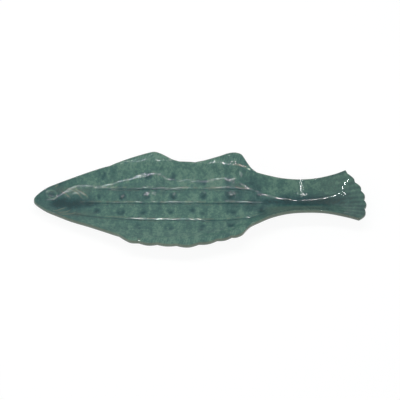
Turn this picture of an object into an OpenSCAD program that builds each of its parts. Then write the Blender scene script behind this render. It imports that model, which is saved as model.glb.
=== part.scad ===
// Fish shaped serving platter: a pressed stoneware slab with its fins and tail in one,
// a coil foot luted under it, and a coat of glaze over all but the foot and the ground inside it.
// Lengths are in millimetres. +X runs from nose to tail, +Y towards the back fins, +Z up.
// The origin is under the middle of the fish, on the table.

/* [Outline] */
// Length from nose to tail
fish_l = 478; // [400:1:560]
// Reach of the back edge from the spine, without its fins
back_w = 64; // [54:1:76]
// Reach of the belly edge from the spine, without its fin
belly_w = 72.5; // [62:0.5:86]
// Length over which the nose is rounded
nose_l = 25; // [15:1:35]

/* [Fins] */
// Height of the first back fin, at its peak
first_fin_h = 15; // [8:0.5:20]
// Height of the second back fin, at its peak
second_fin_h = 23; // [12:0.5:30]
// Height of the long belly fin
belly_fin_h = 13; // [8:0.5:18]
// Number of scallops on the belly fin
belly_lobes = 6; // [4:1:8]
// Depth of the scallops on the belly fin
belly_scallop_d = 2.4; // [0:0.1:3]
// Rise of a fin for each millimetre of its height
fin_rise = 0.17; // [0:0.01:0.4]

/* [Tail] */
// How far the upper tail tip stands back from the end of the tail
tail_back_set = 29.5; // [15:0.5:40]
// Number of scallops on the tail
tail_lobes = 5; // [4:1:5]
// Depth of the scallops on the tail
tail_scallop_d = 3; // [0:0.1:4]
// Depth of the rays pressed into the tail
tail_ray_d = 0.7; // [0:0.1:1.5]

/* [Dish] */
// Height of the rim above the bottom of the dish, in the middle of the fish
rim_h = 15; // [10:0.5:24]
// Thickness of the slab along the spine
slab_t = 6.5; // [5:0.1:9]
// Thickness of the slab at the rim
rim_t = 5; // [3.5:0.1:6]
// Rounding of the rim
rim_r = 1.4; // [0.8:0.1:1.6]
// Width of the three long grooves
groove_w = 4; // [2:0.1:6]
// Depth of the three long grooves in the clay
groove_d = 1.8; // [0.5:0.1:2.5]
// Distance of the back groove from the spine
back_groove_y = 23.5; // [18:0.5:28]
// Distance of the belly groove from the spine
belly_groove_y = 30; // [24:0.5:36]

// Depth of the fingertip dimples between the grooves
dimple_d = 1.4; // [0:0.1:2]
// Width of the pressed eye
eye_w = 15; // [8:0.5:20]
// Depth of the pressed eye
eye_d = 1.8; // [0.5:0.1:2.5]

/* [Glaze] */
// Thickness of the glaze
glaze_t = 0.8; // [0.4:0.1:1.2]
// Share of a groove that the glaze fills
glaze_fill = 0.35; // [0:0.05:0.8]
// Width of the bare band outside the foot
bare_w = 4; // [2:0.5:8]

/* [Foot] */
// Length of the oval foot, over all
foot_l = 250; // [180:2:280]
// Width of the oval foot, over all
foot_oval_w = 74; // [56:1:90]
// Height of the foot under the spine
foot_h = 5; // [4.5:0.1:9]
// Width of the coil
coil_w = 9; // [6:0.5:12]
// Width of the flat that the foot stands on
coil_flat_w = 5.5; // [3:0.5:6]

/* [Hidden] */

// Places along the fish, as shares of its length
tail_share = 0.8;
belly_fin_start_share = 0.292;
belly_lobes_start_share = 0.318;
belly_fin_end_share = 0.632;
foot_share = 0.43;

// Rows of [place along the fish, share of the size that the name gives]
back_line_shares = [
    [0, 0.2], [0.056, 0.396], [0.11, 0.577], [0.165, 0.738], [0.22, 0.878], [0.27, 0.952], [0.33, 0.988],
    [0.4, 0.995], [0.47, 0.985], [0.543, 0.916], [0.6, 0.836], [0.65, 0.73], [0.7, 0.597], [0.75, 0.493],
    [0.8, 0.453], [0.85, 0.49], [0.9, 0.616], [0.94, 0.768]
];
belly_line_shares = [
    [0, 0.14], [0.056, 0.31], [0.11, 0.485], [0.165, 0.63], [0.22, 0.785], [0.255, 0.88], [0.3, 0.96],
    [0.36, 1], [0.46, 1], [0.51, 0.975], [0.57, 0.885], [0.62, 0.768], [0.67, 0.605], [0.71, 0.474],
    [0.76, 0.384], [0.82, 0.355], [0.88, 0.365], [0.94, 0.44], [0.985, 0.53]
];
first_fin_shares = [
    [0.228, 0], [0.27, 0.32], [0.31, 0.64], [0.345, 0.92], [0.363, 1], [0.381, 0.81], [0.4, 0.48],
    [0.417, 0.17], [0.437, 0]
];
second_fin_shares = [
    [0.485, 0], [0.507, 0.13], [0.525, 0.28], [0.561, 0.62], [0.58, 0.83], [0.6, 0.98], [0.615, 1],
    [0.626, 0.92], [0.64, 0.52], [0.654, 0.17], [0.67, 0]
];
belly_fin_shares = [
    [0.255, 0], [0.27, 0.3], [0.292, 0.63], [0.33, 0.74], [0.4, 0.84], [0.46, 1.05], [0.5, 0.87],
    [0.56, 0.76], [0.615, 0.86], [0.627, 0.78], [0.64, 0.33], [0.652, 0.06], [0.664, 0]
];
rim_shares = [
    [0, 0.6], [0.11, 0.68], [0.22, 0.87], [0.36, 1], [0.56, 1.03], [0.65, 1.1], [0.72, 1.2], [0.8, 1.33],
    [0.87, 1.28], [0.93, 1.13], [1, 1]
];
floor_shares = [
    [0, 0.54], [0.03, 0.3], [0.07, 0.1], [0.12, 0], [0.84, 0], [0.9, 0.1], [0.95, 0.28], [1, 0.48]
];
back_groove_shares = [
    [0, 0], [0.04, 0.4], [0.1, 0.75], [0.2, 1.02], [0.3, 1], [0.6, 1], [0.68, 0.85], [0.8, 0.55]
];
belly_groove_shares = [
    [0, 0], [0.06, 0.4], [0.12, 0.72], [0.17, 0.85], [0.23, 0.92], [0.29, 0.97], [0.56, 1.03], [0.62, 1],
    [0.68, 0.87], [0.8, 0.45]
];
// Where the grooves' layout across the fish gives way to evenly spaced rays
even_from_share = 0.68;
even_share = 0.86;
// Most of a side's width that a groove may stand off the spine, and most that half a groove may take
groove_reach_share = 0.6;
groove_half_share = 0.04;

// Dimples along each row, from the back wall to the belly wall
back_wall_dimple_shares = [0.204, 0.346, 0.414, 0.506, 0.586];
back_panel_dimple_shares = [0.2, 0.264, 0.336, 0.416, 0.508, 0.589, 0.677];
belly_panel_dimple_shares = [0.189, 0.258, 0.324, 0.411, 0.474, 0.508, 0.592, 0.68];
belly_wall_dimple_shares = [0.315, 0.405, 0.506, 0.589];
// Place of the eye: along the fish, and from the spine to the back edge
eye_place_shares = [0.058, 0.45];

// Where each groove fades in and out: start, full, full, end
back_groove_run_shares = [0.18, 0.22, 0.61, 0.68];
spine_groove_run_shares = [0.11, 0.16, 0.6, 0.7];
belly_groove_run_shares = [0.09, 0.14, 0.63, 0.72];

// How the slope of the dish is spread between spine and rim, as a power of the place between them:
// 1 is a straight V, more is a flat floor
dish_powers = [
    [0, 1.5], [0.1, 1.5], [0.22, 2.1], [0.33, 2.6], [0.55, 2.6], [0.66, 1.9], [0.76, 1.45], [1, 1.6]
];

// Setback of the tail's end across the tail, from the belly tip to the back tip
tail_set_shares = [
    [0, 0.29], [0.06, 0.16], [0.14, 0.06], [0.3, 0], [0.5, 0.05], [0.67, 0.22], [0.835, 0.55], [1, 0.95]
];
// Rows of [share of the way from the belly tip to the back tip, share of the tail's scallops passed]
tail_lobe_shares = [[0, 0], [0.263, 0.2], [0.456, 0.4], [0.63, 0.6], [0.795, 0.8], [0.95, 1], [1, 1.02]];
// Where the rays begin to be pressed, and where they have their full depth
ray_start_share = 0.85;
ray_full_share = 0.97;
// How late towards its end the tail takes up its rake and its scallops, as powers
tail_rake_power = 1.5;
tail_scallop_power = 8;

// Rows of [share of the way along the belly's lobes, share of the lobes passed], and the share over
// which their scallops fade in and out
belly_lobe_shares = [
    [0, 0], [0.17, 0.1667], [0.353, 0.3333], [0.568, 0.5], [0.741, 0.6667], [0.88, 0.8333], [1, 1]
];
lobe_fade_share = 0.1;

// Heights in the slab's thickness, above its underside: the rim's widest line, and a line well inside
rim_line_share = 0.6;
inside_share = 0.45;
// Most of the fish's width that the rounding of the rim may take
lip_share = 0.2;
// Height of the coil's widest line, as a share of the foot's height
coil_belly_share = 0.4;

// Counts of the grid that the slab is lofted on
nose_steps = 5;
head_steps = 15;
lobe_steps = 4;
waist_steps = 9;
tail_steps = 10;
wall_steps = 5;
panel_steps = 2;
across_steps = 2 * wall_steps + 2 * panel_steps + 6;
coil_steps = 56;
ground_steps = 4;

// Smooth curve through rows of [place, value], level beyond both ends
function row_slope(rows, i) =
    let (a = max(i - 1, 0), b = min(i + 1, len(rows) - 1))
    (rows[b][1] - rows[a][1]) / (rows[b][0] - rows[a][0]);
function row_before(rows, s) = max([for (i = [0 : len(rows) - 2]) if (i == 0 || s >= rows[i][0]) i]);
function between(rows, i, f) =
    let (run = rows[i + 1][0] - rows[i][0], g = f * f * (3 - 2 * f))
    rows[i][1] * (1 - g) + rows[i + 1][1] * g
    + run * f * (1 - f) * ((1 - f) * row_slope(rows, i) - f * row_slope(rows, i + 1));
function curve(rows, s) =
    let (i = row_before(rows, s), f = (s - rows[i][0]) / (rows[i + 1][0] - rows[i][0]))
    between(rows, i, min(max(f, 0), 1));

// Soft step from 0 to 1 between two places, and a run that fades in and out
function step(a, b, s) = let (f = min(max((s - a) / (b - a), 0), 1)) f * f * (3 - 2 * f);
function run(r, s) = step(r[0], r[1], s) * (1 - step(r[2], r[3], s));

// The rounded nose, as a share of the width behind it
function nose_round(s) = let (f = 1 - min(s * fish_l / nose_l, 1)) sqrt(max(1 - f * f, 0));

// Rounded lobes with a sharp notch between them: 0 at a lobe's crown, 1 in a notch
function notch(f) = 1 - abs(sin(180 * f));

// Edges of the fish at a share of its length, with and without the fins
function back_line(s) = back_w * curve(back_line_shares, s) * nose_round(s);
function belly_line(s) = belly_w * curve(belly_line_shares, s) * nose_round(s);
belly_lobes_share = belly_fin_end_share - belly_lobes_start_share;
function belly_place_of(f) =
    belly_lobes_start_share + belly_lobes_share * curve([for (r = belly_lobe_shares) [r[1], r[0]]], f);
function belly_scallop(s) =
    let (f = (s - belly_lobes_start_share) / belly_lobes_share)
    belly_scallop_d * notch(curve(belly_lobe_shares, f) * belly_lobes)
    * run([-lobe_fade_share, 0, 1 - lobe_fade_share, 1], f);
function back_fins(s) =
    max(first_fin_h * curve(first_fin_shares, s), 0) + max(second_fin_h * curve(second_fin_shares, s), 0);
function belly_fin(s) = max(belly_fin_h * curve(belly_fin_shares, s), 0) - belly_scallop(s);

// Place along X: straight across the body, raked and scalloped towards the end of the tail
function tail_part(s) = max(s - tail_share, 0) / (1 - tail_share);
function place_x(s, across, grow) =
    let (w = tail_part(s))
    (fish_l + 2 * grow) * s - grow
    - tail_back_set * curve(tail_set_shares, across) * pow(w, tail_rake_power)
    - tail_scallop_d * notch(curve(tail_lobe_shares, across) * tail_lobes) * pow(w, tail_scallop_power);

// Edges at a station, where the tail is measured at its own raked place
function back_edge(s) = back_line(place_x(s, 1, 0) / fish_l);
function belly_edge(s) = belly_line(place_x(s, 0, 0) / fish_l);

// Height of the smooth dish above its lowest point, and the depth of the slab under it
function rim_share_at(s, y) = y < 0 ? -y / belly_edge(s) : y / back_edge(s);
function past_edge(s, y) = max(y < 0 ? -y - belly_edge(s) : y - back_edge(s), 0);
function dish_z(s, y) =
    let (v = min(rim_share_at(s, y), 1), low = max(curve(floor_shares, s), 0), high = curve(rim_shares, s))
    rim_h * (low + (high - low) * pow(v, curve(dish_powers, s))) + fin_rise * past_edge(s, y);
function slab_z(s, y) = dish_z(s, y) - slab_t + (slab_t - rim_t) * min(rim_share_at(s, y), 1);

// Places across the fish of the long lines of the grid: rim, wall, groove, panel, groove, panel,
// groove, wall, rim. Towards the tail they spread out evenly and become its rays.
function spread(a, b, n) = [for (i = [1 : n - 1]) a + (b - a) * i / n];
function groove_lines(y, half) = [y - half, y, y + half];
function lines_y(s, low, high) =
    let (
        half = min(groove_w / 2, (high - low) * groove_half_share),
        back_y = min(back_groove_y * curve(back_groove_shares, s), high * groove_reach_share),
        belly_y = -min(belly_groove_y * curve(belly_groove_shares, s), -low * groove_reach_share),
        grooved = concat(
            [low], spread(low, belly_y - half, wall_steps), groove_lines(belly_y, half),
            spread(belly_y + half, -half, panel_steps), groove_lines(0, half),
            spread(half, back_y - half, panel_steps), groove_lines(back_y, half),
            spread(back_y + half, high, wall_steps), [high]
        ),
        even = [for (j = [0 : across_steps]) low + (high - low) * j / across_steps],
        f = step(even_from_share, even_share, s)
    )
    [for (j = [0 : across_steps]) grooved[j] * (1 - f) + even[j] * f];

// Stations along the fish, closest at the nose, and with a station in each notch of the belly fin
stations = concat(
    [for (i = [0 : nose_steps - 1]) nose_l / fish_l * (1 - cos(90 * (i + 0.25) / nose_steps))],
    let (a = nose_l / fish_l, b = belly_fin_start_share)
    [for (i = [0 : head_steps - 1]) a + (b - a) * i / head_steps],
    [belly_fin_start_share, (belly_fin_start_share + belly_lobes_start_share) / 2],
    let (n = belly_lobes * lobe_steps)
    [for (i = [0 : n - 1]) belly_place_of(i / n)],
    let (a = belly_fin_end_share)
    [for (i = [0 : waist_steps - 1]) a + (tail_share - a) * i / waist_steps],
    [for (i = [0 : tail_steps]) tail_share + (1 - tail_share) * sin(90 * i / tail_steps)]
);
last_station = len(stations) - 1;

// Depth pressed into the top at a point of the grid: the three grooves, the dimples between them
// at the stations nearest to their places, and the tail's rays
spine_line = across_steps / 2;
groove_step = panel_steps + 2;
panel_step = panel_steps / 2 + 1;
function has_dimple(shares, i) =
    len([for (d = shares)
        let (gaps = [for (s = stations) abs(s - d)])
        if (gaps[i] == min(gaps)) d]) > 0;
dimple_rows = [
    [spine_line + groove_step + 2, back_wall_dimple_shares],
    [spine_line + panel_step, back_panel_dimple_shares],
    [spine_line - panel_step, belly_panel_dimple_shares],
    [spine_line - groove_step - 2, belly_wall_dimple_shares]
];
dimpled = [
    for (i = [0 : last_station])
        [for (row = dimple_rows) if (has_dimple(row[1], i)) row[0]]
];
function has_ray(j) = j % 2 == 0 && j > 0 && j < across_steps;
function pressed(i, j) =
    let (s = stations[i])
    groove_d * (
        (j == spine_line ? run(spine_groove_run_shares, s) : 0)
        + (j == spine_line - groove_step ? run(belly_groove_run_shares, s) : 0)
        + (j == spine_line + groove_step ? run(back_groove_run_shares, s) : 0)
    )
    + (len([for (line = dimpled[i]) if (line == j) line]) > 0 ? dimple_d : 0)
    + (has_ray(j) ? tail_ray_d * step(ray_start_share, ray_full_share, s) : 0);

// Shift that brings the fish's middle over the origin, and its dish above the foot
mid_x = fish_l * (1 + stations[0]) / 2;
mid_y = (max([for (s = stations) back_edge(s) + back_fins(s)])
    - max([for (s = stations) belly_edge(s) + belly_fin(s)])) / 2;
dish_bottom_z = foot_h + slab_t;
function placed(x, y, z) = [x - mid_x, y - mid_y, z + dish_bottom_z];

// One closed loop round the slab: over the top, round the back rim, under, and round the belly rim.
// The slab can be grown all round, with its grooves partly filled, to give the skin of the glaze.
function loop_points(i, grow) =
    let (
        s = stations[i],
        high = back_edge(s) + back_fins(s),
        low = -belly_edge(s) - belly_fin(s),
        lip = min(rim_r, (high - low) * lip_share),
        lines = lines_y(s, low - grow + lip, high + grow - lip),
        unders = [for (j = [across_steps : -2 : 0]) j],
        pinch = i == 0 || i == last_station ? lip : 0,
        fill = grow > 0 ? 1 - glaze_fill : 1,
        rim_drop = rim_t * (1 - rim_line_share)
    )
    concat(
        [for (j = [0 : across_steps])
            placed(place_x(s, j / across_steps, grow), lines[j],
                dish_z(s, lines[j]) + grow - pinch - pressed(i, j) * fill)],
        [placed(place_x(s, 1, grow), high + grow, dish_z(s, high) - rim_drop)],
        [for (j = unders)
            placed(place_x(s, j / across_steps, grow), lines[j], slab_z(s, lines[j]) - grow + pinch)],
        [placed(place_x(s, 0, grow), low - grow, dish_z(s, low) - rim_drop)]
    );

// The slab as one closed solid: quads between the loops and a cap of triangles on each end
module slab(grow) {
    top_n = across_steps + 1;
    under_n = across_steps / 2 + 1;
    loop_n = top_n + under_n + 2;
    points = [for (i = [0 : last_station]) each loop_points(i, grow)];
    sides = [
        for (i = [0 : last_station - 1], j = [0 : loop_n - 1])
            let (k = (j + 1) % loop_n, a = i * loop_n, b = a + loop_n)
            each [[a + j, a + k, b + j], [a + k, b + k, b + j]]
    ];
    cap = concat(
        [[loop_n - 1, 0, loop_n - 2], [top_n - 1, top_n, top_n + 1]],
        [for (m = [0 : under_n - 2])
            let (u = loop_n - 2 - m, j = 2 * m)
            each [[u, j, j + 1], [u, j + 1, u - 1], [u - 1, j + 1, j + 2]]]
    );
    far = last_station * loop_n;
    polyhedron(
        points,
        concat(
            sides,
            [for (f = cap) [f[2], f[1], f[0]]],
            [for (f = cap) [far + f[0], far + f[1], far + f[2]]]
        )
    );
}

// The ball that presses the eye, smaller by the glaze that lies in it
module eye_press(lining) {
    s = eye_place_shares[0];
    y = eye_place_shares[1] * back_edge(s);
    ball_r = (pow(eye_w / 2, 2) + eye_d * eye_d) / (2 * eye_d);
    translate(placed(s * fish_l, y, dish_z(s, y) + ball_r - eye_d))
        sphere(r = ball_r - lining, $fn = 48);
}

// The pressed slab of clay
module clay() {
    difference() {
        slab(0);
        eye_press(0);
    }
}

// Height of a level inside the slab, over a place in plan
function inside_z(x, y) = dish_bottom_z + slab_z(x / fish_l, y) + slab_t * inside_share;

// Points of the coil at an angle round the oval: flat below, round at the sides, and each side run up
// into the slab that lies over it
function coil_points(a) =
    let (
        rx = (foot_l - coil_w) / 2,
        ry = (foot_oval_w - coil_w) / 2,
        out = [ry * cos(a), rx * sin(a)] / norm([ry * cos(a), rx * sin(a)]),
        mid = [foot_share * fish_l + rx * cos(a), ry * sin(a)],
        outer = mid + out * coil_w / 2,
        inner = mid - out * coil_w / 2,
        flat_outer = mid + out * coil_flat_w / 2,
        flat_inner = mid - out * coil_flat_w / 2,
        belly_z = foot_h * coil_belly_share
    )
    [
        for (p = [
            [flat_inner, 0], [flat_outer, 0], [outer, belly_z], [outer, inside_z(outer[0], outer[1])],
            [inner, inside_z(inner[0], inner[1])], [inner, belly_z]
        ])
        [p[0][0] - mid_x, p[0][1] - mid_y, p[1]]
    ];

module foot_blank() {
    rings = [for (i = [0 : coil_steps - 1]) coil_points(360 * i / coil_steps)];
    n = len(rings[0]);
    polyhedron(
        [for (r = rings) each r],
        [for (i = [0 : coil_steps - 1], j = [0 : n - 1])
            let (a = i * n, b = (i + 1) % coil_steps * n, k = (j + 1) % n)
            each [[a + j, a + k, b + j], [a + k, b + k, b + j]]]
    );
}

module stoneware_body() {
    color("#8f8478") clay();
}

module foot_ring() {
    color("#a2917c")
        difference() {
            foot_blank();
            slab(0);
        }
}

// The ground inside the foot and a band outside it, kept clear of glaze: an oval block that rises from
// the table into the slab and follows it there
module bare_ground() {
    ovals = [for (m = [ground_steps : -1 : 1]) m / ground_steps];
    function oval_point(f, a) = [
        foot_share * fish_l + (foot_l / 2 + bare_w) * f * cos(a),
        (foot_oval_w / 2 + bare_w) * f * sin(a)
    ];
    function top_point(p) = [p[0] - mid_x, p[1] - mid_y, inside_z(p[0], p[1])];
    angles = [for (i = [0 : coil_steps - 1]) 360 * i / coil_steps];
    points = concat(
        [for (a = angles) let (p = oval_point(1, a)) [p[0] - mid_x, p[1] - mid_y, 0]],
        [for (f = ovals, a = angles) top_point(oval_point(f, a))],
        [top_point(oval_point(0, 0))]
    );
    last = len(points) - 1;
    n = coil_steps;
    polyhedron(
        points,
        concat(
            [[for (i = [0 : n - 1]) i]],
            [for (m = [0 : ground_steps - 1], i = [0 : n - 1])
                let (k = (i + 1) % n, a = m * n, b = a + n)
                each [[a + i, b + i, a + k], [a + k, b + i, b + k]]],
            [for (i = [0 : n - 1]) [ground_steps * n + i, last, ground_steps * n + (i + 1) % n]]
        )
    );
}

module glaze_coat() {
    color("#5f8580")
        difference() {
            slab(glaze_t);
            clay();
            bare_ground();
            eye_press(glaze_t);
        }
}

stoneware_body();
glaze_coat();
foot_ring();
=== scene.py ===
# A fish shaped serving platter: a pressed slab of stoneware with its fins and tail in one, a coil foot
# luted under it, and a coat of celadon glaze. It lies with its nose to -X and its back fins to +Y.
import math

import bpy
import numpy as np
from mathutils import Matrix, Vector


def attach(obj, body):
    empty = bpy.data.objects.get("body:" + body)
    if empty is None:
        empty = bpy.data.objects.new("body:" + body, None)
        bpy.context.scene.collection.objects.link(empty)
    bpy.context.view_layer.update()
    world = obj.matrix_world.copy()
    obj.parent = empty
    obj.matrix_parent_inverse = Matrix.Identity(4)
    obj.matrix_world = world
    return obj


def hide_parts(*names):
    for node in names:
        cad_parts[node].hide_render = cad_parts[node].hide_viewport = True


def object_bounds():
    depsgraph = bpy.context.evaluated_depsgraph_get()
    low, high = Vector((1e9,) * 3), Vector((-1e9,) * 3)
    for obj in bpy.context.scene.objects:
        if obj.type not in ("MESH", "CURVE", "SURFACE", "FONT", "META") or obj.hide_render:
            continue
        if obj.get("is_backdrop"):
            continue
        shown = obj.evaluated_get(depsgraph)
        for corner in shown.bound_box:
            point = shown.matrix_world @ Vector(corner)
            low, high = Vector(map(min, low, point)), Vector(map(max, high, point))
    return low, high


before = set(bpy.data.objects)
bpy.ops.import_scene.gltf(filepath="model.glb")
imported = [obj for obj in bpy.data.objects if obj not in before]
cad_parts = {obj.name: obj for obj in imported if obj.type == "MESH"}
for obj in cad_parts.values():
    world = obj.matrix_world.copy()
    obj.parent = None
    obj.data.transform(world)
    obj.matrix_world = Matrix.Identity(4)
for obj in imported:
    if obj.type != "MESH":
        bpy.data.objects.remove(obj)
cad_low, cad_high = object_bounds()


# THE SLAB
# One sheet of grey stoneware clay with dark grit, pressed over a form while it is soft, with the fins and
# the tail cut in one with it. Grooves, dimples, the eye, gills and rays are pressed into its top. Once fired
# it is bare only under the platter, inside the foot and on a band round it.

# Lengths in millimetres. Shares are of the fish's length, from the nose.
fish_l, back_w, belly_w, nose_l = 478, 64, 72.5, 25
first_fin_h, second_fin_h, belly_fin_h, fin_rise = 15, 23, 13, 0.17
belly_lobes, belly_scallop_d = 6, 2.4
tail_lobes, tail_scallop_d, tail_back_set, tail_share = 5, 3, 29.5, 0.8
rim_h, slab_t, rim_t, foot_h = 15, 6.5, 5, 5
back_groove_y, belly_groove_y = 23.5, 30
# The strip on each side of a groove, the slope that the banks along it have, and the most of a side's width
# that a groove may stand off the spine
groove_side, bank_slope, groove_reach = 3.2, 0.231, 0.6
# Where the belly fin's scallops start and end, and where the grid's long lines leave the grooves' layout and
# are evenly spread
lobes_start, lobes_end = 0.318, 0.632
spread_start, spread_end = 0.68, 0.86
# Where the nose and the spine lie in the shared frame
nose_x, spine_y = -239.04, 3.752

back_line_rows = [
    (0, 0.2), (0.056, 0.396), (0.11, 0.577), (0.165, 0.738), (0.22, 0.878), (0.27, 0.952), (0.33, 0.988),
    (0.4, 0.995), (0.47, 0.985), (0.543, 0.916), (0.6, 0.836), (0.65, 0.73), (0.7, 0.597), (0.75, 0.493),
    (0.8, 0.453), (0.85, 0.49), (0.9, 0.616), (0.94, 0.768),
]
belly_line_rows = [
    (0, 0.14), (0.056, 0.31), (0.11, 0.485), (0.165, 0.63), (0.22, 0.785), (0.255, 0.88), (0.3, 0.96),
    (0.36, 1), (0.46, 1), (0.51, 0.975), (0.57, 0.885), (0.62, 0.768), (0.67, 0.605), (0.71, 0.474),
    (0.76, 0.384), (0.82, 0.355), (0.88, 0.365), (0.94, 0.44), (0.985, 0.53),
]
first_fin_rows = [
    (0.228, 0), (0.27, 0.32), (0.31, 0.64), (0.345, 0.92), (0.363, 1), (0.381, 0.81), (0.4, 0.48),
    (0.417, 0.17), (0.437, 0),
]
second_fin_rows = [
    (0.485, 0), (0.507, 0.13), (0.525, 0.28), (0.561, 0.62), (0.58, 0.83), (0.6, 0.98), (0.615, 1),
    (0.626, 0.92), (0.64, 0.52), (0.654, 0.17), (0.67, 0),
]
belly_fin_rows = [
    (0.255, 0), (0.27, 0.3), (0.292, 0.63), (0.33, 0.74), (0.4, 0.84), (0.46, 1.05), (0.5, 0.87),
    (0.56, 0.76), (0.615, 0.86), (0.627, 0.78), (0.64, 0.33), (0.652, 0.06), (0.664, 0),
]
# Rows of the place along a scalloped edge and the share of its scallops passed there
belly_lobe_rows = [
    (0, 0), (0.17, 0.1667), (0.353, 0.3333), (0.568, 0.5), (0.741, 0.6667), (0.88, 0.8333), (1, 1),
]
tail_lobe_rows = [(0, 0), (0.263, 0.2), (0.456, 0.4), (0.63, 0.6), (0.795, 0.8), (0.95, 1), (1, 1.02)]
# Heights of the rim and of the floor along the fish, as shares of the rim's height in the middle, and the
# power by which the dish rises from floor to rim
rim_rows = [
    (0, 0.6), (0.11, 0.68), (0.22, 0.87), (0.36, 1), (0.56, 1.03), (0.65, 1.1), (0.72, 1.2), (0.8, 1.33),
    (0.87, 1.28), (0.93, 1.13), (1, 1),
]
floor_rows = [(0, 0.54), (0.03, 0.3), (0.07, 0.1), (0.12, 0), (0.84, 0), (0.9, 0.1), (0.95, 0.28), (1, 0.48)]
power_rows = [
    (0, 1.5), (0.1, 1.5), (0.22, 2.1), (0.33, 2.6), (0.55, 2.6), (0.66, 1.9), (0.76, 1.45), (1, 1.6),
]
# Distances of the two outer grooves from the spine, as shares of those in the middle
back_groove_rows = [
    (0, 0), (0.04, 0.4), (0.1, 0.75), (0.2, 1.02), (0.3, 1), (0.6, 1), (0.68, 0.85), (0.8, 0.55),
]
belly_groove_rows = [
    (0, 0), (0.06, 0.4), (0.12, 0.72), (0.17, 0.85), (0.23, 0.92), (0.29, 0.97), (0.56, 1.03), (0.62, 1),
    (0.68, 0.87), (0.8, 0.45),
]
# The back wall's bend, as a share of the way from spine to edge, and the share of its rise before the bend
bend_rows = [
    (0, 0.1), (0.05, 0.2), (0.08, 0.45), (0.11, 0.7), (0.14, 0.7), (0.17, 0.6), (0.2, 0.5), (0.24, 0.56),
    (0.258, 0.65), (0.285, 0.66), (0.321, 0.78), (0.366, 0.8), (0.387, 0.74), (0.4, 0.63), (0.435, 0.62),
    (0.526, 0.65), (0.547, 0.75), (0.6, 0.82), (0.615, 0.8), (0.63, 0.62), (0.664, 0.49), (0.72, 0.35),
    (0.778, 0.26), (0.829, 0.26), (0.88, 0.31), (0.905, 0.35), (0.925, 0.44), (0.945, 0.66), (0.97, 0.78),
    (1, 0.8),
]
before_bend_rows = [
    (0, 0.1), (0.05, 0.15), (0.12, 0.45), (0.17, 0.4), (0.2, 0.2), (0.26, 0.2), (0.32, 0.45), (0.366, 0.5),
    (0.4, 0.25), (0.45, 0.16), (0.52, 0.2), (0.56, 0.42), (0.61, 0.5), (0.64, 0.25), (0.7, 0.1), (0.9, 0.12),
    (0.925, 0.2), (0.945, 0.35), (1, 0.4),
]
# Setback of the tail's end across the tail, from the belly tip to the back tip
tail_set_rows = [
    (0, 0.29), (0.06, 0.16), (0.14, 0.06), (0.3, 0), (0.5, 0.05), (0.67, 0.22), (0.835, 0.55), (1, 0.95),
]


def curve(rows, s):
    """Smooth curve through rows of (place, value), level beyond both ends."""
    place, value = np.array(rows, float).T
    before = np.clip(np.searchsorted(place, s, side="right") - 1, 0, len(place) - 2)
    left = np.r_[0, np.arange(len(place) - 1)]
    right = np.r_[np.arange(1, len(place)), len(place) - 1]
    slope = (value[right] - value[left]) / (place[right] - place[left])
    length = place[before + 1] - place[before]
    f = np.clip((s - place[before]) / length, 0, 1)
    g = f * f * (3 - 2 * f)
    bend = (1 - f) * slope[before] - f * slope[before + 1]
    return value[before] * (1 - g) + value[before + 1] * g + length * f * (1 - f) * bend


def step(a, b, x):
    """Soft step from 0 at one place to 1 at another."""
    f = np.clip((x - a) / (b - a), 0, 1)
    return f * f * (3 - 2 * f)


def run(s, start, full, fading, end):
    """Fades in between two places, and out again between two others."""
    return step(start, full, s) * (1 - step(fading, end, s))


def notch(f):
    """Rounded lobes with a sharp notch between them: 0 at a lobe's crown and 1 in a notch."""
    return 1 - np.abs(np.sin(np.pi * f))


def nose_round(s):
    """The rounded nose, as a share of the width behind it."""
    f = 1 - np.clip(s * fish_l / nose_l, 0, 1)
    return np.sqrt(np.maximum(1 - f * f, 0))


def place_x(s, across):
    """Distance from the nose: straight across the body, raked and scalloped towards the end of the tail."""
    w = np.maximum(s - tail_share, 0) / (1 - tail_share)
    rake = tail_back_set * curve(tail_set_rows, across) * w**1.5
    return fish_l * s - rake - tail_scallop_d * notch(curve(tail_lobe_rows, across) * tail_lobes) * w**8


def edges(s):
    """Reach of the belly edge and of the back edge from the spine, without their fins."""
    belly = np.clip(place_x(s, np.zeros_like(s)) / fish_l, 0, 1)
    back = np.clip(place_x(s, np.ones_like(s)) / fish_l, 0, 1)
    belly_edge = belly_w * curve(belly_line_rows, belly) * nose_round(belly)
    return belly_edge, back_w * curve(back_line_rows, back) * nose_round(back)


def fins(s):
    """Height of the belly fin and of the back fins at a place along the fish."""
    f = (s - lobes_start) / (lobes_end - lobes_start)
    scallop = belly_scallop_d * notch(curve(belly_lobe_rows, f) * belly_lobes) * run(f, -0.1, 0, 0.9, 1)
    belly = np.maximum(belly_fin_h * curve(belly_fin_rows, s), 0) - scallop
    first = np.maximum(first_fin_h * curve(first_fin_rows, s), 0)
    second = np.maximum(second_fin_h * curve(second_fin_rows, s), 0)
    return belly, first + second


def groove_middles(s):
    """Places of the back groove and of the belly groove, from the spine."""
    belly, back = edges(s)
    belly_fin, back_fins = fins(s)
    back_y = np.minimum(back_groove_y * curve(back_groove_rows, s), (back + back_fins) * groove_reach)
    belly_y = np.minimum(belly_groove_y * curve(belly_groove_rows, s), (belly + belly_fin) * groove_reach)
    return back_y, -belly_y


def dish_z(s, y, below=False):
    """Height of the smooth dish above its lowest point, or of the slab's underside."""
    belly, back = edges(s)
    edge = np.maximum(np.where(y < 0, belly, back), 0.01)
    v = np.minimum(np.abs(y) / edge, 1)
    low = np.maximum(curve(floor_rows, s), 0)
    z = rim_h * (low + (curve(rim_rows, s) - low) * v ** curve(power_rows, s))
    z = z + fin_rise * np.maximum(np.abs(y) - edge, 0)
    return z - slab_t + (slab_t - rim_t) * v if below else z


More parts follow.
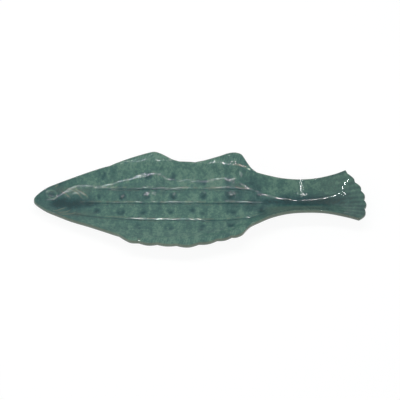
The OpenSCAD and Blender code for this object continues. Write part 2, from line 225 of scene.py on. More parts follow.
def pressed_z(s, y):
    """Height of the pressed top: as the dish, but on the back side a floor, a bend and a straight wall."""
    belly, back = edges(s)
    v = np.clip(y / np.maximum(back, 0.01), 0, 1)
    bend, before = curve(bend_rows, s), curve(before_bend_rows, s)
    soft = 0.06 + 0.06 * step(0.62, 0.76, s)
    wall, start, whole = (
        ((f - bend) + np.hypot(f - bend, soft)) / 2 for f in (v, 0 * v, 0 * v + 1)
    )
    share = before * v + (1 - before) * (wall - start) / (whole - start)
    low = np.maximum(curve(floor_rows, s), 0)
    z = rim_h * (low + (curve(rim_rows, s) - low) * share) + fin_rise * np.maximum(y - back, 0)
    # The snout is pressed 0.8 mm deeper along its middle
    middle = (1 - np.clip(np.abs(y) / np.maximum(np.where(y < 0, belly, back), 0.01), 0, 1)) ** 0.7
    return np.where(y > 0, z, dish_z(s, y)) - 0.8 * middle * run(s, -0.02, 0.03, 0.05, 0.11)


def grid_places(s, counts, grow, lip):
    """Places of a grid on the fish, stations by long lines. Its lines run along the three grooves, and
    spread out evenly towards the tail. The lip is what the rim's rounding takes off each side."""
    belly, back = edges(s)
    belly_fin, back_fins = fins(s)
    low, high = -belly - belly_fin, back + back_fins
    inset = np.minimum(lip, (high - low) * 0.2)
    half = np.minimum(groove_side, (high - low) * 0.05)
    back_y, belly_y = groove_middles(s)
    low, high = low - grow + inset, high + grow - inset
    knots = [low, belly_y - half, belly_y + half, -half, half, back_y - half, back_y + half, high]
    lines = [a + (b - a) * k / n for a, b, n in zip(knots, knots[1:], counts) for k in range(n)] + [high]
    even = [low + (high - low) * f for f in np.linspace(0, 1, len(lines))]
    f = step(spread_start, spread_end, s)[:, None]
    y = np.array(lines).T * (1 - f) + np.array(even).T * f
    across = np.linspace(0, 1, len(lines))[None, :]
    grown = s[:, None] * (1 + 2 * grow / fish_l) - grow / fish_l
    return place_x(s[:, None], across) + fish_l * (grown - s[:, None]), y


def stations(nose_steps, spacing):
    """Places of the stations along the fish for the rim's outline and for the top inside its rounding. The
    spacing, in millimetres, is for the head behind the nose, for the body and for the tail's end."""
    angle = np.radians(np.linspace(4.5, 90, nose_steps + 1))
    nose = nose_l / fish_l * (1 - np.cos(angle))
    marks = np.array([nose_l, 0.22 * fish_l, 0.88 * fish_l, fish_l])
    counts = np.cumsum(np.r_[0, np.ceil(np.diff(marks) / spacing)])
    rest = np.interp(np.arange(1, counts[-1] + 1), counts, marks) / fish_l
    outline = np.r_[nose, rest]
    angle = np.radians(np.linspace(24, 90, nose_steps + 1))
    inside = np.r_[nose_l / fish_l * (1 - np.cos(angle)), rest]
    # The rounding takes 2.2 mm off the tail's end, spread over its last 14 mm
    return outline, inside - 2.2 / fish_l * step(1 - 14 / fish_l, 1, inside)


# The marks that the tools and the fingertip leave, in millimetres from the nose and from the spine. The
# dimples also have their radius.
dimples = [
    (98, 42.9, 6.0), (164, 42.8, 5.5), (199, 42.8, 5.5), (243, 35.3, 7.0), (281, 35.1, 7.0),
    (95.5, 11.4, 5.5), (127, 10.4, 6.0), (161, 11.6, 5.5), (200, 12.0, 6.0), (244, 12.6, 6.5),
    (283, 12.7, 6.5), (325, 11.8, 5.5),
    (90.5, -14.1, 6.0), (124, -15.5, 6.5), (155.5, -15.3, 6.0), (197, -14.6, 6.5),
    (227.5, -13.4, 5.0), (244, -15.6, 6.5), (284, -17.2, 7.0), (326.5, -13.6, 6.0),
    (151, -43, 6.5), (194.5, -45.4, 7.0), (243, -45.7, 7.0), (283, -41.5, 6.5),
]
eye_x, eye_y, eye_r = 25, 11.9, 7.2
gills = [
    [(36, 19.7), (45, 14.9), (53, 7.4)],
    [(42, 24.4), (52, 22.2), (60.5, 18.1), (66, 12.1), (71, 6)],
    [(48, 25.8), (59, 22.8), (68, 18.3), (75, 12.3), (79, 6)],
    [(24.5, -19), (32, -16.9), (39, -12.4), (48, -7.6)],
    [(27.5, -20.3), (36, -21), (46, -18.4), (55, -11.4)],
    [(30, -23.4), (42, -25), (53, -22.2), (64, -16.8)],
]
fin_roots = [
    [(284, 57.3), (300, 54.2), (311, 50.5)],
    [(139, -70.5), (156, -74.2)],
    [(29, 21.9), (34.5, 27)],
]


def line_distance(x, y, line):
    """Distance to a line through points, and the share of the way along it."""
    near, at = np.full(x.shape, 1e9), np.zeros(x.shape)
    for k, ((ax, ay), (bx, by)) in enumerate(zip(line, line[1:])):
        f = np.clip(((x - ax) * (bx - ax) + (y - ay) * (by - ay)) / ((bx - ax) ** 2 + (by - ay) ** 2), 0, 1)
        d = np.hypot(x - ax - f * (bx - ax), y - ay - f * (by - ay))
        at = np.where(d < near, (k + f) / (len(line) - 1), at)
        near = np.minimum(near, d)
    return near, at


def uneven(x, y, cell, seed):
    """Low, even waviness from -1 to 1, as a hand leaves it on clay, with waves of about the cell's size."""
    n = 97
    table = np.random.default_rng(seed).uniform(-1, 1, (n, n))
    gx, gy = x / cell + 20.37, y / cell + 30.71
    i, j = np.floor(gx).astype(int), np.floor(gy).astype(int)
    f, g = step(0, 1, gx - i), step(0, 1, gy - j)
    near = table[i % n, j % n] * (1 - f) + table[(i + 1) % n, j % n] * f
    far = table[i % n, (j + 1) % n] * (1 - f) + table[(i + 1) % n, (j + 1) % n] * f
    return near * (1 - g) + far * g


def pressed(s, x, y):
    """The marks in the top at each point. The grooves, the lips beside them, the cups of the dimples and of
    the eye, the lip round the eye and the scored lines are shares of their full depth. The banks are depths
    in millimetres: on its back side a groove is pressed in places to an even slope that glints as a dash."""
    back_y, belly_y = groove_middles(s)
    back_banks = run(s, 0.3, 0.33, 0.46, 0.49) + run(s, 0.51, 0.53, 0.6, 0.63)
    spine_banks = run(s, 0.26, 0.29, 0.44, 0.48) + run(s, 0.53, 0.55, 0.64, 0.67)
    belly_banks = run(s, 0.26, 0.29, 0.49, 0.53)
    wander = 0.5 * uneven(x, y * 0, 23, 5)
    grooves = lips = banks = 0 * s
    for middle, fade, bank in (
        (back_y, run(s, 0.18, 0.22, 0.61, 0.68), back_banks),
        (0 * s, run(s, 0.12, 0.18, 0.6, 0.72), spine_banks),
        (belly_y, run(s, 0.09, 0.14, 0.63, 0.72), belly_banks),
    ):
        d = y - middle - wander
        grooves = grooves + fade * np.exp(-((d / np.where(d > 0, 0.8, 1.2)) ** 2))
        lips = lips + fade * (np.exp(-(((d - 2.3) / 0.9) ** 2)) + 0.5 * np.exp(-(((d + 2.4) / 0.9) ** 2)))
        rise = bank_slope + 0.0005 * middle - (pressed_z(s, middle + 3) - pressed_z(s, middle + 1)) / 2
        rise = rise + 0.06 * uneven(x, 0 * y + 9 * middle, 4, 11)
        banks = np.maximum(banks, bank * rise * np.clip(groove_side - d, 0, groove_side) * (d > 0))
    cups = 0 * s
    for cx, cy, r in dimples:
        f = np.clip(1 - ((x - cx) ** 2 + (y - cy) ** 2) / (1.1 * r) ** 2, 0, 1)
        cups = np.maximum(cups, f**1.5)
    eye = np.hypot(x - eye_x, (y - eye_y) * 1.4) / eye_r
    eye_cup, eye_lip = np.clip(1 - eye**2, 0, 1), np.exp(-(((eye - 1.05) / 0.16) ** 2))
    scored = 0 * s
    for line in gills + fin_roots:
        d, at = line_distance(x, y, line)
        scored = np.maximum(scored, np.exp(-((d / 0.65) ** 2)) * run(at, -0.01, 0.3, 0.7, 1.01))
    return {
        "grooves": grooves, "lips": lips, "banks": banks, "cups": cups,
        "eye_cup": eye_cup, "eye_lip": eye_lip, "scored": scored,
    }


def flat_slab(name, along, across, rings):
    """Rolls out a flat slab. Its x counts stations from 0 to 1, its y long lines, and its z goes from 0 on
    top to -1 below, with rings of points round the edge between them."""
    bpy.ops.object.select_all(action="DESELECT")
    bpy.ops.mesh.primitive_grid_add(x_subdivisions=along, y_subdivisions=across, size=1, location=(0, 0, 0))
    slab = bpy.context.object
    slab.name = slab.data.name = name
    depth = slab.modifiers.new("depth", "SOLIDIFY")
    depth.thickness, depth.offset = 1, -1
    bpy.ops.object.modifier_apply(modifier=depth.name)
    mesh = slab.data
    point = np.array([v.co.z for v in mesh.vertices])
    ends = np.array([e.vertices[:] for e in mesh.edges])
    upright = np.abs(point[ends[:, 0]] - point[ends[:, 1]]) > 0.5
    mesh.vertices.foreach_set("select", np.zeros(len(mesh.vertices), bool))
    mesh.polygons.foreach_set("select", np.zeros(len(mesh.polygons), bool))
    mesh.edges.foreach_set("select", upright)
    bpy.ops.object.mode_set(mode="EDIT")
    bpy.ops.mesh.select_mode(type="EDGE")
    bpy.ops.mesh.subdivide(number_cuts=rings - 1)
    bpy.ops.object.mode_set(mode="OBJECT")
    return slab


def places(mesh):
    """Places of the points of a mesh."""
    co = np.empty(len(mesh.vertices) * 3)
    mesh.vertices.foreach_get("co", co)
    return co.reshape(-1, 3)


def press_over_form(slab, counts, s_out, s_in, grow, lip, relief):
    """Works out where each point of a flat slab lies once it is pressed into the shape of the fish. Returns
    the points' places in the frame, their shares along the fish, their distances from the nose and from the
    spine, and their depths in the slab, from 0 on top to 1 below."""
    along, across, depth = (places(slab.data) + (0.5, 0.5, 0)).T
    i = np.rint(along * (len(s_in) - 1)).astype(int)
    j = np.rint(across * sum(counts)).astype(int)
    depth = np.clip(-depth, 0, 1)
    x_in, y_in = (g[i, j] for g in grid_places(s_in, counts, grow, lip))
    x_out, y_out = (g[i, j] for g in grid_places(s_out, counts, grow, 0))
    s = s_in[i]
    top = pressed_z(s, y_in) + grow - relief(s, x_in, y_in)
    below = dish_z(s, y_in, below=True) - grow
    turn = np.pi * depth
    out = np.where((depth > 0) & (depth < 1), np.abs(np.sin(turn)) ** 0.7, 0)
    up = np.sign(np.cos(turn)) * np.abs(np.cos(turn)) ** 0.8
    x, y = x_in + (x_out - x_in) * out, y_in + (y_out - y_in) * out
    z = (top + below) / 2 + (top - below) / 2 * up
    co = np.stack([x + nose_x, y + spine_y, z + foot_h + slab_t], 1) / 1000
    co = np.clip(co, np.array(cad_low) + 1e-5, np.array(cad_high) - 1e-5)
    return co, s, x, y, depth


def set_places(mesh, co):
    """Moves the points of a mesh."""
    mesh.vertices.foreach_set("co", np.asarray(co, np.float32).ravel())
    mesh.update()


def clay_relief(s, x, y):
    """Depth of the marks in the clay, which lies about 0.4 mm lower than the coat's inner face."""
    marks = pressed(s, x, y)
    return 1.9 * marks["grooves"] + 1.4 * marks["cups"] + 1.9 * marks["eye_cup"] + 0.4 * marks["scored"] + 0.4


# Steps across the slab: wall, groove, panel, groove, panel, groove, wall
clay_counts = (8, 4, 5, 4, 5, 4, 8)
s_out, s_in = stations(8, (3.2, 3.2, 3.2))
slab = flat_slab("stoneware_slab", len(s_in) - 1, sum(clay_counts), 4)
set_places(slab.data, press_over_form(slab, clay_counts, s_out, s_in, 0, 1.6, clay_relief)[0])
bpy.ops.object.shade_smooth()


def linear(colour):
    """Linear colour of an sRGB hex value."""
    parts = [int(colour[k : k + 2], 16) / 255 for k in (1, 3, 5)]
    return [c / 12.92 if c <= 0.04045 else ((c + 0.055) / 1.055) ** 2.4 for c in parts] + [1]


def add(tree, kind, inputs=None, stops=None, **settings):
    """Adds a node with its settings. An input that is a socket is linked, and any other is set. The first two
    stops go to the two that a colour ramp starts with."""
    node = tree.nodes.new(kind)
    for key, value in settings.items():
        setattr(node, key, value)
    for key, value in (inputs or {}).items():
        if isinstance(value, bpy.types.NodeSocket):
            tree.links.new(value, node.inputs[key])
        else:
            node.inputs[key].default_value = value
    for k, (place, colour) in enumerate(stops or []):
        stop = node.color_ramp.elements[k] if k < 2 else node.color_ramp.elements.new(place)
        stop.position, stop.color = place, linear(colour)
    return node


def calc(tree, operation, *values):
    """Output of a math node on values that are sockets or numbers."""
    return add(tree, "ShaderNodeMath", dict(enumerate(values)), operation=operation).outputs[0]


def new_material(name):
    """An empty material and its node tree."""
    material = bpy.data.materials.new(name)
    material.use_nodes = True
    material.node_tree.nodes.clear()
    return material, material.node_tree


def dry_and_gritty(tree, at, body, grit_colour, grit_share, tooth_height, roughness):
    """Puts dark grit and a fine tooth on the body's colour, and ends the material. The grit is 0.5 to 1 mm,
    and it is drawn at 2 mm, because less doesn't show."""
    grit = add(tree, "ShaderNodeTexVoronoi", {"Vector": at, "Scale": 1000 / 4})
    speck = add(
        tree, "ShaderNodeMapRange",
        {
            "Value": grit.outputs["Distance"], "From Min": 0.12, "From Max": 0.26,
            "To Min": grit_share, "To Max": 0.0,
        },
    )
    speckled = add(
        tree, "ShaderNodeMix", {0: speck.outputs[0], 6: body, 7: linear(grit_colour)}, data_type="RGBA"
    )
    tooth = add(tree, "ShaderNodeTexNoise", {"Vector": at, "Scale": 1000 / 1.5, "Detail": 3})
    rough = add(
        tree, "ShaderNodeBump", {"Height": tooth.outputs["Fac"], "Strength": tooth_height, "Distance": 0.0003}
    )
    surface = add(
        tree, "ShaderNodeBsdfPrincipled",
        {
            "Base Color": speckled.outputs[2], "Roughness": roughness, "IOR": 1.5,
            "Normal": rough.outputs["Normal"],
        },
    )
    add(tree, "ShaderNodeOutputMaterial", {"Surface": surface.outputs["BSDF"]})


# Bare fired stoneware: a dry, grey buff body with dark iron grit, which scatters light evenly and shows no
# gloss
bare_stoneware, tree = new_material("bare_stoneware")
at = add(tree, "ShaderNodeTexCoord").outputs["Object"]
cloud = add(tree, "ShaderNodeTexNoise", {"Vector": at, "Scale": 1000 / 30, "Detail": 4})
body = add(
    tree, "ShaderNodeValToRGB", {"Fac": cloud.outputs["Fac"]},
    stops=[(0.3, "#8a7c6a"), (0.7, "#a3957f")],
)
dry_and_gritty(tree, at, body.outputs["Color"], "#4b3f35", 0.75, 0.35, 0.88)
slab.data.materials.append(bare_stoneware)
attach(slab, "root")
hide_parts("stoneware_body")


# THE GLAZE
# A coat of blue-green celadon fused over the slab: over the dish, round the rim, and under it to a wiped
# line outside the foot. Where it runs thin, on the rim and on ridges, the clay shows brown-grey through it.
# Where it pools, in the valley, the grooves and the cups, it is deep and dark.
glaze_t = 0.8
glaze_counts = (16, 10, 9, 10, 9, 10, 16)
foot_x, foot_l, foot_w, bare_w = 0.43 * fish_l, 250, 74, 4

s_out, s_in = stations(16, (1.25, 1.65, 1.4))
glaze = flat_slab("celadon_coat", len(s_in) - 1, sum(glaze_counts), 6)
across = places(glaze.data)[:, 1] + 0.5
tail_ray_count = 10
ray_wave = 0.5 + 0.5 * np.cos(2 * np.pi * tail_ray_count * across)


def glaze_relief(s, x, y):
    """Depth of the marks in the coat, which fills them in part, with the tail's rays and the low waves that
    hand and melt leave."""
    marks = pressed(s, x, y)
    tail_rays = 0.14 * ray_wave * step(0.95, 1, s)
    waves = 0.1 * uneven(x, y, 26, 1) + 0.05 * uneven(x, y, 12, 2) + 0.02 * uneven(x, y, 5.5, 3)
    depth = np.maximum(1.1 * marks["grooves"], marks["banks"]) + 0.9 * marks["cups"]
    depth = depth + 1.35 * marks["eye_cup"] - 0.5 * marks["eye_lip"] - 0.25 * marks["scored"]
    return depth + tail_rays - waves


on_clay = press_over_form(glaze, glaze_counts, s_out, s_in, 0, 1.7, glaze_relief)[0]
outside, s, x, y, depth = press_over_form(glaze, glaze_counts, s_out, s_in, glaze_t, 2.2, glaze_relief)
set_places(glaze.data, outside)

# How deep the glaze lies and how thin it runs, with some painted shade and painted highlight in both,
# and how strongly the fins' rays show, at each point
belly, back = edges(s)
belly_fin, back_fins = fins(s)
marks = pressed(s, x, y)
lips, cups, scored = marks["lips"], marks["cups"], marks["scored"]
eye_cup, eye_lip = marks["eye_cup"], marks["eye_lip"]
under = step(0.3, 0.9, depth)
# It pools in the valley of the head, down the middle of the waist, and in the grooves. The broad dark band on
# the belly side of each groove is painted shade.
valley_w = 4 + 6 * step(0.1, 0.02, s) + 5 * run(s, 0.05, 0.09, 0.12, 0.2)
valley = np.exp(-(((y + 1.5) / valley_w) ** 2))
valley = valley * run(s, 0.035, 0.07, 0.13, 0.23)
waist = np.exp(-(((y - 2.5) / (4 + 4 * step(0.6, 0.84, s))) ** 2)) * run(s, 0.58, 0.8, 0.86, 0.98)
ground_rows = [
    (0, 0.24), (0.03, 0.3), (0.06, 0.34), (0.12, 0.24), (0.2, 0.12), (0.3, 0.06), (0.6, 0.06), (0.7, 0.16),
    (0.8, 0.14), (0.9, 0.27), (1, 0.32),
]
back_y, belly_y = groove_middles(s)
# Along each groove: glaze pooled in it, and painted shade in a broad band on its belly side
below_groove = 0 * s
for middle, fade in (
    (back_y, run(s, 0.16, 0.22, 0.61, 0.7)),
    (0 * s, run(s, 0.12, 0.18, 0.6, 0.75)),
    (belly_y, run(s, 0.09, 0.14, 0.63, 0.74)),
):
    below_groove = below_groove + fade * (
        0.6 * np.exp(-(((y - middle + 0.6) / 1.1) ** 2)) + 0.5 * np.exp(-(((y - middle + 1.5) / 4) ** 2))
    )
# It stands in the cups, here more and there less, and its general depth changes along the fish
in_cups = cups**0.4 * (0.75 + 0.9 * uneven(x, y, 4.5, 9))
pool_and_painted_light = curve(ground_rows, s) + 0.68 * valley + 0.8 * waist + 0.35 * below_groove + 0.5 * in_cups
pool_and_painted_light = pool_and_painted_light + 0.3 * (ray_wave - 0.5) * step(0.87, 0.97, s)
# Broad places where it ran thicker or thinner: their start and end along, their two sides, and by how much
for start, end, low, high, more in (
    (0.1, 0.17, 16, 60, -0.05), (0.26, 0.4, 18, 30, 0.1), (0.46, 0.54, 26, 60, -0.2),
    (0.59, 0.66, -12, 34, 0.18), (0.72, 1, 16, 70, -0.14), (0.68, 0.74, -24, -8, 0.1),
):
    pool_and_painted_light = pool_and_painted_light + more * run(s, start - 0.04, start, end, end + 0.04) * run(y, low - 7, low, high, high + 7)
# The pale ring on the eye's lip is glaze breaking thin over it, and also a painted highlight
pool_and_painted_light = pool_and_painted_light + 0.3 * eye_cup - 0.7 * eye_lip - 0.3 * scored
pool_and_painted_light = pool_and_painted_light * (1 - under) + 0.25 * under - 0.1 * lips * (1 - under)
# It runs thin on the rim, the lips and the scored lines, round the edge, on both sides of the jaw, on the
# belly side of the waist, and on the tail. The broken pale dashes on the lips are partly painted glints.
edge_gap = np.minimum(back + back_fins + glaze_t - y, y + belly + belly_fin + glaze_t)
thin_and_painted_glint = np.exp(-((edge_gap / 1.6) ** 2)) * (1 - under) * 0.8
# The lips' pale colour, broken into dashes, is thin glaze and also painted glints
thin_and_painted_glint = thin_and_painted_glint + (0.55 * lips * step(-0.5, 0.6, uneven(x, y, 6, 6)) + 1.05 * scored) * (1 - under)
thin_and_painted_glint = np.maximum(thin_and_painted_glint, run(depth, 0.02, 0.2, 0.75, 0.99) * 0.4)
jaw = run(s, 0.04, 0.08, 0.14, 0.2) * np.exp(-(((np.abs(y + 1) - 21) / 5) ** 2))
thin_and_painted_glint = np.maximum(thin_and_painted_glint, 0.24 * jaw * (1 - under))
low_waist = run(s, 0.66, 0.74, 0.84, 0.92) * step(-4, -12, y)
thin_and_painted_glint = np.maximum(thin_and_painted_glint, 0.35 * low_waist * (1 - under))
thin_and_painted_glint = np.maximum(thin_and_painted_glint, 0.15 * step(0.8, 0.92, s) * (1 - under))
# The fine rays show on the two back fins and on the belly fin
rays = step(-6, 4, y - back) * step(0.2, 0.28, s) * (1 - step(0.66, 0.69, s)) * step(3, 10, back_fins + 3)
rays = rays + step(-4, 4, -y - belly) * run(s, 0.26, 0.3, 0.63, 0.66)
rays = rays * (1 - under)
for name, values in (("pool_and_painted_light", pool_and_painted_light), ("thin_and_painted_glint", thin_and_painted_glint), ("rays", rays)):
    values = np.clip(values, 0, 1.2).astype(np.float32)
    glaze.data.attributes.new(name, "FLOAT", "POINT").data.foreach_set("value", values)
for name, column in zip("xyz", on_clay.T.astype(np.float32)):
    glaze.data.attributes.new("clay_" + name, "FLOAT", "POINT").data.foreach_set("value", column.copy())

# The glaze is wiped off the ground inside an oval line round the foot
centre = np.array([foot_x + nose_x, spine_y]) / 1000
reach = np.array([foot_l / 2 + bare_w, foot_w / 2 + bare_w]) / 1000
co = places(glaze.data)
share = np.hypot(*((co[:, :2] - centre) / reach).T)
inside = (share < 1) & (depth > 0.99)
corners = np.empty(len(glaze.data.loops), int)
glaze.data.loops.foreach_get("vertex_index", corners)
wiped = [all(inside[corners[f.loop_start : f.loop_start + f.loop_total]]) for f in glaze.data.polygons]
glaze.data.vertices.foreach_set("select", np.zeros(len(co), bool))
glaze.data.edges.foreach_set("select", np.zeros(len(glaze.data.edges), bool))
glaze.data.polygons.foreach_set("select", wiped)
bpy.ops.object.mode_set(mode="EDIT")
bpy.ops.mesh.select_mode(type="FACE")
bpy.ops.mesh.delete(type="FACE")
bpy.ops.mesh.select_mode(type="VERT")
bpy.ops.mesh.select_all(action="DESELECT")
bpy.ops.mesh.select_non_manifold(extend=False, use_wire=False, use_multi_face=False, use_non_contiguous=False)
bpy.ops.object.mode_set(mode="OBJECT")
co = places(glaze.data)
line = np.array([v.select for v in glaze.data.vertices])
off = (co[:, :2] - centre) / reach
share = np.hypot(*off.T)
co[line, :2] = centre + off[line] / share[line, None] * reach
where_x, where_y = co[line, 0] * 1000 - nose_x, co[line, 1] * 1000 - spine_y
co[line, 2] = (dish_z(where_x / fish_l, where_y, below=True) - glaze_t + foot_h + slab_t) / 1000
set_places(glaze.data, co)


def values_of(mesh, name):
    """Values that a mesh keeps at its points under a name."""
    values = np.empty(len(mesh.vertices), np.float32)
    mesh.attributes[name].data.foreach_get("value", values)
    return values


# The coat's inner face follows the clay, and meets its outer face at the wiped line
coat = glaze.modifiers.new("coat", "SOLIDIFY")
coat.thickness, coat.offset = glaze_t / 1000, -1
bpy.ops.object.modifier_apply(modifier=coat.name)
inner = np.arange(len(glaze.data.vertices)) >= len(co)
on_clay = np.stack([values_of(glaze.data, "clay_" + name) for name in "xyz"], 1)
on_clay[np.r_[line, line]] = np.r_[co, co][np.r_[line, line]] + (0, 0, glaze_t / 1000)
set_places(glaze.data, np.where(inner[:, None], on_clay, np.r_[co, co]))
for name in "xyz":
    glaze.data.attributes.remove(glaze.data.attributes["clay_" + name])
bpy.ops.object.shade_smooth()

# Glossy fired celadon: glass with iron in it over a grey body. Its gloss is high and slightly waved, its
# colour follows its depth and how thin it runs, values which also carry some painted shade and painted
# highlight, and it is mottled at 4 to 24 mm where it ran and cooled.
celadon, tree = new_material("celadon_glaze")
at = add(tree, "ShaderNodeTexCoord").outputs["Object"]
deep_and_painted_light = add(tree, "ShaderNodeAttribute", attribute_name="pool_and_painted_light").outputs["Fac"]
thinned_and_painted_glint = add(tree, "ShaderNodeAttribute", attribute_name="thin_and_painted_glint").outputs["Fac"]
ray_share = add(tree, "ShaderNodeAttribute", attribute_name="rays").outputs["Fac"]
runs = add(tree, "ShaderNodeMapping", {"Vector": at, "Scale": (1, 0.45, 1)})
cloud = add(
    tree, "ShaderNodeTexNoise",
    {"Vector": runs.outputs[0], "Scale": 1000 / 11, "Detail": 5, "Roughness": 0.65},
)
fleck = add(tree, "ShaderNodeTexNoise", {"Vector": at, "Scale": 1000 / 4, "Detail": 4, "Roughness": 0.75})
side = add(tree, "ShaderNodeSeparateXYZ", {"Vector": at})
# The fins' rays stand 3.7 mm apart and run a little slantwise across the fish
slant = calc(tree, "MULTIPLY_ADD", side.outputs["Y"], -0.25, side.outputs["X"])
wave = calc(tree, "SINE", calc(tree, "MULTIPLY", slant, 2 * math.pi * 1000 / 3.7))
fin_rays = calc(tree, "MULTIPLY", wave, ray_share)
mottled = calc(tree, "MULTIPLY_ADD", cloud.outputs["Fac"], 1.15, deep_and_painted_light)
mottled = calc(tree, "MULTIPLY_ADD", fleck.outputs["Fac"], 1.15, mottled)
rayed = calc(tree, "MULTIPLY_ADD", fin_rays, 0.05, mottled)
glass = add(
    tree, "ShaderNodeValToRGB", {"Fac": calc(tree, "ADD", rayed, -1.03)},
    stops=[(0.0, "#668878"), (1.0, "#294445"), (0.2, "#4f7369"), (0.45, "#41635f"), (0.72, "#315253")],
)
ragged = calc(tree, "MULTIPLY_ADD", fleck.outputs["Fac"], 0.5, thinned_and_painted_glint)
thin_share = add(
    tree, "ShaderNodeMapRange",
    {"Value": ragged, "From Min": 0.25, "From Max": 1.25, "To Min": 0.0, "To Max": 0.85},
)
colour = add(
    tree, "ShaderNodeMix", {0: thin_share.outputs[0], 6: glass.outputs["Color"], 7: linear("#7a7c6b")},
    data_type="RGBA",
)
# Its skin has waves of 6.5 mm, which are lower on the tail, and of 3 mm
swell = add(tree, "ShaderNodeTexNoise", {"Vector": at, "Scale": 1000 / 6.5, "Detail": 0})
skin = add(tree, "ShaderNodeTexNoise", {"Vector": at, "Scale": 1000 / 3, "Detail": 1})
calm = add(
    tree, "ShaderNodeMapRange",
    {"Value": side.outputs["X"], "From Min": 0.07, "From Max": 0.13, "To Min": 3.6, "To Max": 1.0},
)
swelled = calc(tree, "MULTIPLY_ADD", swell.outputs["Fac"], calm.outputs[0], skin.outputs["Fac"])
ripple = calc(tree, "MULTIPLY_ADD", fin_rays, 0.6, swelled)
waved = add(tree, "ShaderNodeBump", {"Height": ripple, "Strength": 1, "Distance": 0.0001})
gloss = add(
    tree, "ShaderNodeMapRange",
    {"Value": fleck.outputs["Fac"], "From Min": 0.3, "From Max": 0.7, "To Min": 0.02, "To Max": 0.04},
)
surface = add(
    tree, "ShaderNodeBsdfPrincipled",
    {
        "Base Color": colour.outputs[2], "Roughness": gloss.outputs[0], "IOR": 1.5,
        "Normal": waved.outputs["Normal"],
    },
)
add(tree, "ShaderNodeOutputMaterial", {"Surface": surface.outputs["BSDF"]})
glaze.data.materials.append(celadon)
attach(glaze, "root")
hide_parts("glaze_coat")


# THE FOOT
# A coil of the same clay, rolled by hand, laid in an oval under the slab and luted on with slip. Its
# underside is worn flat where it stands, and the fire has toasted it a warmer brown than the slab.
coil_w, coil_flat = 9, 5.5
bpy.ops.object.select_all(action="DESELECT")
bpy.ops.mesh.primitive_torus_add(
    major_segments=180, minor_segments=24, major_radius=1, minor_radius=0.25, location=(0, 0, 0)
)
foot = bpy.context.object
foot.name = foot.data.name = "foot_coil"
co = places(foot.data)
turn = np.arctan2(co[:, 1], co[:, 0])
roll = np.arctan2(co[:, 2], np.hypot(co[:, 0], co[:, 1]) - 1)
rx, ry = (foot_l - coil_w) / 2, (foot_w - coil_w) / 2
out = np.stack([ry * np.cos(turn), rx * np.sin(turn)], 1)
out = out / np.hypot(*out.T)[:, None]
# Section of the coil by the angle round it: half width, then height, with 0 the floor and 1 in the slab
middle_rise, swing, into_slab = 0.5, 0.62, 1.5
half = coil_w / 2 * np.sign(np.cos(roll)) * np.abs(np.cos(roll)) ** 0.55
rise = np.clip(np.sin(roll) * swing + middle_rise, 0, 1)
# Where the coil meets the floor, its half width becomes that of the flat
flat_from = math.cos(math.asin(-middle_rise / swing))
half = np.where(rise <= 0, np.cos(roll) / flat_from * coil_flat / 2, half)
half = half * (1 + 0.03 * uneven(turn * 60, turn * 0, 17, 8))
px, py = foot_x + rx * np.cos(turn) + out[:, 0] * half, ry * np.sin(turn) + out[:, 1] * half
top = dish_z(px / fish_l, py, below=True) + foot_h + slab_t + into_slab
co = np.stack([px + nose_x, py + spine_y, rise * top], 1) / 1000
set_places(foot.data, co)
bpy.ops.object.shade_smooth()

# The same stoneware, toasted in the fire to a warmer brown, and polished pale and flat where it stands
toasted_stoneware, tree = new_material("toasted_stoneware")
at = add(tree, "ShaderNodeTexCoord").outputs["Object"]
cloud = add(tree, "ShaderNodeTexNoise", {"Vector": at, "Scale": 1000 / 22, "Detail": 4})
body = add(
    tree, "ShaderNodeValToRGB", {"Fac": cloud.outputs["Fac"]},
    stops=[(0.3, "#8c6b4e"), (0.7, "#a98b6a")],
)
height = add(tree, "ShaderNodeSeparateXYZ", {"Vector": at})
worn = add(
    tree, "ShaderNodeMapRange",
    {"Value": height.outputs["Z"], "From Min": 0.0002, "From Max": 0.0009, "To Min": 0.7, "To Max": 0.0},
)
stood = add(
    tree, "ShaderNodeMix", {0: worn.outputs[0], 6: body.outputs["Color"], 7: linear("#b7a78d")},
    data_type="RGBA",
)
dry_and_gritty(tree, at, stood.outputs[2], "#43352b", 0.7, 0.3, 0.85)
foot.data.materials.append(toasted_stoneware)
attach(foot, "root")
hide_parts("foot_ring")


# THE STUDIO
# A pale sheet under the platter, soft light all round, two soft boxes on the belly side, and three thin
# tube lamps a metre up, whose reflections are the broken bright lines on the glaze.
bpy.ops.object.select_all(action="DESELECT")
bpy.ops.mesh.primitive_plane_add(size=8, location=(0, 0, -0.0001))
sheet = bpy.context.object
sheet.name = sheet.data.name = "paper_floor"
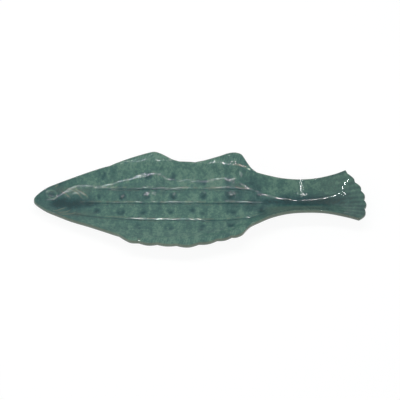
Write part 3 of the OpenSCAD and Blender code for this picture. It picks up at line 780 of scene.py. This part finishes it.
# White paper. Where it is seen or reflected it also shines by itself, so that it reads as an even white.
pale_paper, tree = new_material("pale_paper")
path = add(tree, "ShaderNodeLightPath")
seen = calc(tree, "MAXIMUM", path.outputs["Is Camera Ray"], path.outputs["Is Glossy Ray"])
seen = calc(tree, "MAXIMUM", seen, path.outputs["Is Transmission Ray"])
paper = add(tree, "ShaderNodeBsdfDiffuse", {"Color": linear("#f4f4f2")})
glow = add(tree, "ShaderNodeEmission", {"Color": linear("#ffffff"), "Strength": 1.04})
share = calc(tree, "MULTIPLY", seen, 0.88)
mixed = add(tree, "ShaderNodeMixShader", {0: share, 1: paper.outputs[0], 2: glow.outputs[0]})
add(tree, "ShaderNodeOutputMaterial", {"Surface": mixed.outputs[0]})
sheet.data.materials.append(pale_paper)
sheet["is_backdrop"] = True

world = bpy.data.worlds.new("studio")
bpy.context.scene.world = world
world.use_nodes = True
world.node_tree.nodes["Background"].inputs["Color"].default_value = linear("#eff6fa")
world.node_tree.nodes["Background"].inputs["Strength"].default_value = 0.425


def lamp(name, place, aim, size, watts):
    """Hangs a flat lamp at a place and turns it to what it is aimed at."""
    bpy.ops.object.light_add(type="AREA", location=place)
    light = bpy.context.object
    light.name = name
    light.data.shape = "RECTANGLE"
    light.data.size, light.data.size_y = size
    light.data.energy = watts
    light.rotation_euler = (Vector(aim) - Vector(place)).to_track_quat("-Z", "Y").to_euler()


for side in (-1, 1):
    lamp(f"soft_box_{side}", (2.4 * side, -1.3, 1.6), (0, 0, 0), (1.2, 1.2), 11)
lamp("far_tube", (-0.195, 0.16, 1), (-0.195, 0.16, 0), (1.29, 0.003), 4.4)
lamp("fin_tube", (-0.26, 0.29, 1), (-0.26, 0.29, 0), (0.48, 0.002), 0.6)
lamp("middle_tube", (0.15, -0.98, 1), (0.15, -0.98, 0), (0.003, 0.36), 0.7)

# The camera looks down 55 degrees from the belly side. A width of 577 mm fills the frame.
lens, frame_w, elevation = 800, 0.5768, math.radians(55)
aim = Vector((-0.0004, 0.00973, 0.0115))
bpy.ops.object.camera_add()
camera = bpy.context.object
camera.data.lens = lens
distance = frame_w * lens / camera.data.sensor_width
camera.location = aim + Vector((0, -math.cos(elevation), math.sin(elevation))) * distance
camera.rotation_euler = (math.pi / 2 - elevation, 0, 0)
camera.data.clip_start, camera.data.clip_end = 1, 40
bpy.context.scene.camera = camera
bpy.context.scene.view_settings.view_transform = "Standard"

low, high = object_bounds()
